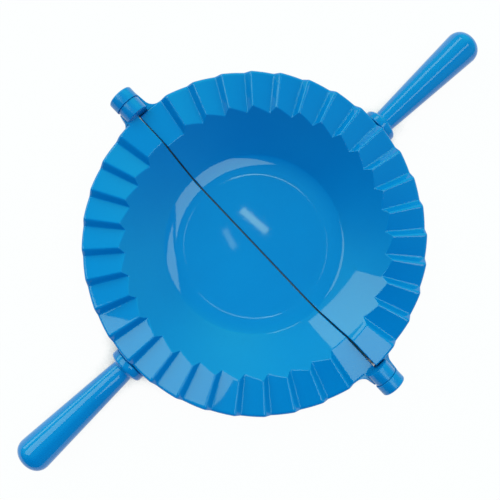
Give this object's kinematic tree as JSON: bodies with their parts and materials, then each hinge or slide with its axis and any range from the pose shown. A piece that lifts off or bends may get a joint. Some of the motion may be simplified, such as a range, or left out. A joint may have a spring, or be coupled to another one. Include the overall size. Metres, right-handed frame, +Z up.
{
  "type": "pierogi press",
  "caption": "Round dumpling press: two half dishes with fluted crimping rims, hinged along a diameter, with a round tapered handle on each half.",
  "frame": {"origin": "on the table under the middle of the hinge line, with the press lying open on its dish floor", "axes": "+X along the hinge line, +Y out along the far handle, +Z up out of the open dish"},
  "size_m": [0.1738, 0.2764, 0.0258],
  "materials": {
    "press_plastic": "glossy moulded polypropylene, mid blue",
    "pin_plastic": "smooth moulded dowel, same blue"
  },
  "bodies": {
    "far_half": {"far_jaw": "press_plastic", "far_handle": "press_plastic", "hinge_pin_left": "pin_plastic", "hinge_pin_right": "pin_plastic"},
    "near_half": {"near_jaw": "press_plastic", "near_handle": "press_plastic"}
  },
  "joints": [
    {"name": "jaw_hinge", "type": "hinge", "parent": "far_half", "child": "near_half", "pos_m": [0, 0, 0.02], "axis": [-1, 0, 0], "range_deg": [0, 180]}
  ]
}
